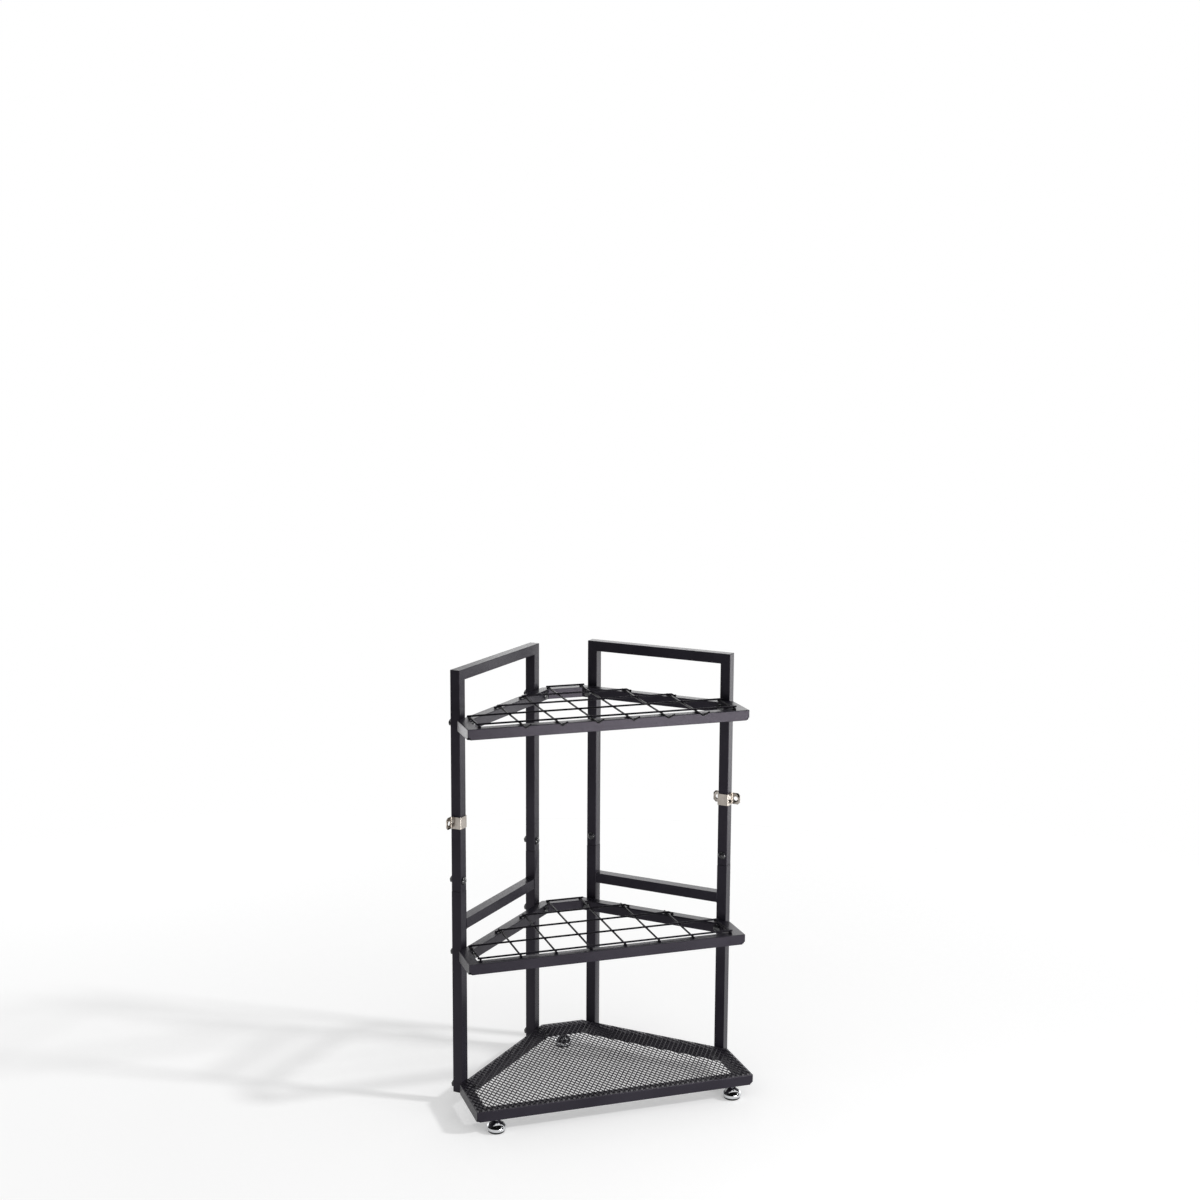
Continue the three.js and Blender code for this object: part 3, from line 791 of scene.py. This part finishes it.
CLIP_CHEEK = TUBE / 2 + SEAT + CLIP_THICKNESS / 2
CLIP_TIP = CLIP_CHEEK + CLIP_THICKNESS / 2 + CLIP_EAR
CLIP_FACE = -CLIP_THICKNESS / 2
CLIP_WALL = SEAT + TUBE - CLIP_THICKNESS / 2


def strap_mesh():
    """The bent strap, still without its holes."""
    half = [(CLIP_CHEEK, CLIP_FACE), (CLIP_CHEEK, CLIP_WALL), (CLIP_TIP, CLIP_WALL)]
    corners = [(-x, y) for x, y in reversed(half)] + half
    path = rounded_path([Vector((x, y, 0)) for x, y in corners], CLIP_BEND_RADIUS, CLIP_BEND_STEPS)
    top = Vector((0, 0, CLIP_WIDTH))
    bm = bmesh.new()
    rings = []
    for i, here in enumerate(path):
        before = path[max(i - 1, 0)]
        after = path[min(i + 1, len(path) - 1)]
        along = (after - before).normalized()
        across = Vector((-along.y, along.x, 0)) * CLIP_THICKNESS / 2
        spots = (here - across, here + across, here + across + top, here - across + top)
        rings.append([bm.verts.new(spot) for spot in spots])
    closed_skin(bm, rings)
    return mesh_from(bm, "strap")


def ear_cutter(hand):
    """A rod for an ear's hole and a square one for each of its corners."""
    turn = Matrix.Rotation(QUARTER_TURN, 4, "X")
    hole = hand * (CLIP_CHEEK + CLIP_THICKNESS / 2 + CLIP_HOLE_INSET)
    rods = [(hole, CLIP_WIDTH / 2, CLIP_HOLE_RADIUS, HOLE_SIDES)]
    rods += [(hand * CLIP_TIP, edge, CLIP_CHAMFER, SQUARE_SIDES) for edge in (0, CLIP_WIDTH)]
    bm = bmesh.new()
    for x, z, radius, sides in rods:
        matrix = Matrix.Translation((x, CLIP_WALL, z)) @ turn
        bmesh.ops.create_cone(
            bm,
            cap_ends=True,
            segments=sides,
            radius1=radius,
            radius2=radius,
            depth=2 * OVERRUN,
            matrix=matrix,
        )
    return mesh_from(bm, "cutter")


def clip_mesh():
    """The strap with a round hole in each ear, clipped corners and soft edges."""
    strap = linked("strap", strap_mesh())
    spent = [strap]
    for hand in SIDES.values():
        cut = strap.modifiers.new("hole", "BOOLEAN")
        cut.object = linked("cutter", ear_cutter(hand))
        cut.solver = "EXACT"
        spent.append(cut.object)
    soften = strap.modifiers.new("edges", "BEVEL")
    soften.width = CLIP_EDGE
    soften.segments = EDGE_STEPS
    soften.limit_method = "ANGLE"
    view = bpy.context.evaluated_depsgraph_get()
    mesh = bpy.data.meshes.new_from_object(strap.evaluated_get(view))
    for made in spent:
        bpy.data.objects.remove(made)
    return mesh


def dress_clips():
    clip = clip_mesh()
    for side, sign in SIDES.items():
        matrix = side_matrix(sign, sign * LEG_OFFSET, 0, CLIP_HEIGHT)
        place_piece(f"fine_clip_{side}", clip, f"clip_{side}", "clip_nickel", [f"wall_clip_{side}"], matrix)


dress_clips()


# Weld beads where the cross rails meet the legs


def rail_welds():
    corners = [(SEAT, 0), (SEAT + TUBE, 0), (SEAT + TUBE, TUBE), (SEAT, TUBE), (SEAT, 0)]
    bm = bmesh.new()
    for sign in SIDES.values():
        for hand in (-1, 1):
            x = hand * (LEG_OFFSET - TUBE / 2)
            path = [side_matrix(sign, x, y, RAIL_HEIGHT + z).translation for y, z in corners]
            for start, end in zip(path, path[1:]):
                round_bar(bm, [start, end], BEAD_RADIUS, BEAD_SIDES)
    place_piece("rail_welds", mesh_from(bm, "rail_welds"), "rack", "frame_coat")


rail_welds()


# The solids that stay: rounded edges and finishes


def round_edges(piece, width, steps):
    """Closes the imported faces up again and rounds the edges."""
    weld = piece.modifiers.new("join", "WELD")
    weld.merge_threshold = JOIN_DISTANCE
    soften = piece.modifiers.new("edges", "BEVEL")
    soften.width = width
    soften.segments = steps
    soften.limit_method = "ANGLE"
    soften.angle_limit = TUBE_CREASE


SLOTS = {entry["node"]: entry["material_slot"] for entry in frame["record"]["subparts"]}
EDGES = {"frame_coat": (TUBE_EDGE, TUBE_EDGE_STEPS), "plug_plastic": (PLUG_EDGE, EDGE_STEPS)}
for node, piece in frame["nodes"].items():
    slot = SLOTS[node]
    piece.data.materials.clear()
    piece.data.materials.append(MATERIALS[slot])
    if slot in EDGES:
        round_edges(piece, *EDGES[slot])


# Floor and dark cards: the floor starts to fade at FLOOR_FADE and is gone at its radius

FLOOR_RADIUS = 2.4
FLOOR_FADE = 0.9
FLOOR_GLOW = 0.3
FLOOR_SIDES = 96
FLOOR_COLOUR = (0.82, 0.82, 0.82, 1.0)
FRONT_CARD = ((-5.0, -2.6, 0.0), (5.0, -2.6, 0.0), (5.0, -0.6, 3.2), (-5.0, -0.6, 3.2))
LEFT_CARD = ((-3.4, -2.6, 0.0), (-3.4, 2.6, 0.0), (-1.8, 2.6, 2.8), (-1.8, -2.6, 2.8))


def seen_directly(tree):
    """One for rays from the camera and for those in reflections and in glass."""
    path = tree.nodes.new("ShaderNodeLightPath")
    total = path.outputs["Is Camera Ray"]
    for kind in ("Is Glossy Ray", "Is Transmission Ray"):
        add = tree.nodes.new("ShaderNodeMath")
        add.operation = "MAXIMUM"
        tree.links.new(total, add.inputs[0])
        tree.links.new(path.outputs[kind], add.inputs[1])
        total = add.outputs[0]
    return total


def empty_material(name):
    """A material with nothing but its output."""
    material = bpy.data.materials.new(name)
    material.use_nodes = True
    material.node_tree.nodes.clear()
    return material, material.node_tree.nodes.new("ShaderNodeOutputMaterial")


def stage_mesh(bm, name, material):
    """Puts a mesh on the stage, which isn't part of the object."""
    mesh = bpy.data.meshes.new(name)
    bm.to_mesh(mesh)
    bm.free()
    mesh.materials.append(material)
    made = linked(name, mesh)
    return made


def pale_floor():
    """White that glows a little for the camera and fades out to the white behind it."""
    material, output = empty_material("pale floor")
    tree = material.node_tree
    diffuse = tree.nodes.new("ShaderNodeBsdfDiffuse")
    diffuse.inputs["Color"].default_value = FLOOR_COLOUR
    glow = tree.nodes.new("ShaderNodeEmission")
    strength = tree.nodes.new("ShaderNodeMath")
    strength.operation = "MULTIPLY"
    strength.inputs[1].default_value = FLOOR_GLOW
    both = tree.nodes.new("ShaderNodeAddShader")
    place = tree.nodes.new("ShaderNodeTexCoord")
    length = tree.nodes.new("ShaderNodeVectorMath")
    length.operation = "LENGTH"
    fade = tree.nodes.new("ShaderNodeMapRange")
    fade.inputs["From Min"].default_value = FLOOR_FADE
    fade.inputs["From Max"].default_value = FLOOR_RADIUS
    clear = tree.nodes.new("ShaderNodeBsdfTransparent")
    mix = tree.nodes.new("ShaderNodeMixShader")
    links = (
        (seen_directly(tree), strength.inputs[0]),
        (strength.outputs[0], glow.inputs["Strength"]),
        (diffuse.outputs[0], both.inputs[0]),
        (glow.outputs[0], both.inputs[1]),
        (place.outputs["Object"], length.inputs[0]),
        (length.outputs["Value"], fade.inputs["Value"]),
        (fade.outputs[0], mix.inputs["Fac"]),
        (both.outputs[0], mix.inputs[1]),
        (clear.outputs[0], mix.inputs[2]),
        (mix.outputs[0], output.inputs["Surface"]),
    )
    for start, end in links:
        tree.links.new(start, end)
    return material


def floor():
    """A pale disc that keeps the shadow."""
    bm = bmesh.new()
    bmesh.ops.create_circle(bm, cap_ends=True, segments=FLOOR_SIDES, radius=FLOOR_RADIUS)
    stage_mesh(bm, "floor", pale_floor())


def dark_card(name, places):
    """A black card, seen only in reflections: it gives the chrome dark bands."""
    material, output = empty_material("dark card")
    tree = material.node_tree
    black = tree.nodes.new("ShaderNodeBsdfDiffuse")
    black.inputs["Color"].default_value = BLACK
    tree.links.new(black.outputs[0], output.inputs["Surface"])
    bm = bmesh.new()
    bm.faces.new([bm.verts.new(place) for place in places])
    made = stage_mesh(bm, name, material)
    made.visible_camera = False
    made.visible_shadow = False
    made.visible_diffuse = False


# World and lamps

AMBIENT = 0.5
SUN_AZIMUTH = math.radians(30)
SUN_ELEVATION = math.radians(35)
SUN_SPREAD = math.radians(5.5)
SUN_POWER = 1.25

# Soft boxes: place, aim, width, height and power in watts
LAMPS = {
    "front": ((0.9, -2.1, 0.25), (0, 0, 0.6), 1.3, 0.42, 34.0),
    "side": ((2.6, 0.9, 0.3), (0, 0, 0.5), 1.0, 0.8, 5.2),
    "back": ((1.3, 3.2, 1.4), (0, 0, 0.6), 1.4, 1.4, 9.0),
    "left": ((-1.0, 2.2, 0.25), (-0.3, 0, 0.4), 0.9, 0.42, 3.0),
}


def world():
    """Soft light all round, and plain white behind for the camera and in reflections."""
    made = bpy.data.worlds.new("studio")
    bpy.context.scene.world = made
    made.use_nodes = True
    tree = made.node_tree
    tree.nodes.clear()
    output = tree.nodes.new("ShaderNodeOutputWorld")
    soft = tree.nodes.new("ShaderNodeBackground")
    soft.inputs["Color"].default_value = WHITE
    soft.inputs["Strength"].default_value = AMBIENT
    white = tree.nodes.new("ShaderNodeBackground")
    white.inputs["Color"].default_value = WHITE
    mix = tree.nodes.new("ShaderNodeMixShader")
    tree.links.new(seen_directly(tree), mix.inputs["Fac"])
    tree.links.new(soft.outputs[0], mix.inputs[1])
    tree.links.new(white.outputs[0], mix.inputs[2])
    tree.links.new(mix.outputs[0], output.inputs["Surface"])


def lamp(name, place, aim, width, height, power):
    """A soft box aimed at a point."""
    data = bpy.data.lights.new(name, "AREA")
    data.shape = "RECTANGLE"
    data.size = width
    data.size_y = height
    data.energy = power
    made = linked(name, data)
    made.visible_camera = False
    made.location = place
    made.rotation_euler = (Vector(aim) - Vector(place)).to_track_quat("-Z", "Y").to_euler()


def sun():
    """The distant main lamp. Its azimuth is counted from +X towards -Y."""
    data = bpy.data.lights.new("key", "SUN")
    data.angle = SUN_SPREAD
    data.energy = SUN_POWER
    away = Vector((math.cos(SUN_AZIMUTH), -math.sin(SUN_AZIMUTH), math.tan(SUN_ELEVATION)))
    linked("key", data).rotation_euler = away.to_track_quat("Z", "Y").to_euler()


# Camera, as solved from the tubes' edges in the photograph

CAMERA_PLACE = (-1.1606, -3.3883, 1.6637)
CAMERA_YAW = math.radians(18.49)
CAMERA_PITCH = math.radians(9.42)
CAMERA_ROLL = math.radians(0.32)
CAMERA_LENS = 54.63
CAMERA_SENSOR = 36.0


def camera():
    data = bpy.data.cameras.new("camera")
    data.lens = CAMERA_LENS
    data.sensor_width = CAMERA_SENSOR
    made = linked("camera", data)
    place = Vector(CAMERA_PLACE) + Vector((0, FRONT, 0))
    turn = Matrix.Rotation(-CAMERA_YAW, 4, "Z") @ Matrix.Rotation(QUARTER_TURN - CAMERA_PITCH, 4, "X")
    made.matrix_world = Matrix.Translation(place) @ turn @ Matrix.Rotation(CAMERA_ROLL, 4, "Z")
    bpy.context.scene.camera = made


floor()
world()
dark_card("front_card", FRONT_CARD)
dark_card("left_card", LEFT_CARD)
sun()
for lamp_name, lamp_values in LAMPS.items():
    lamp(lamp_name, *lamp_values)
camera()
bpy.context.scene.view_settings.view_transform = "Standard"
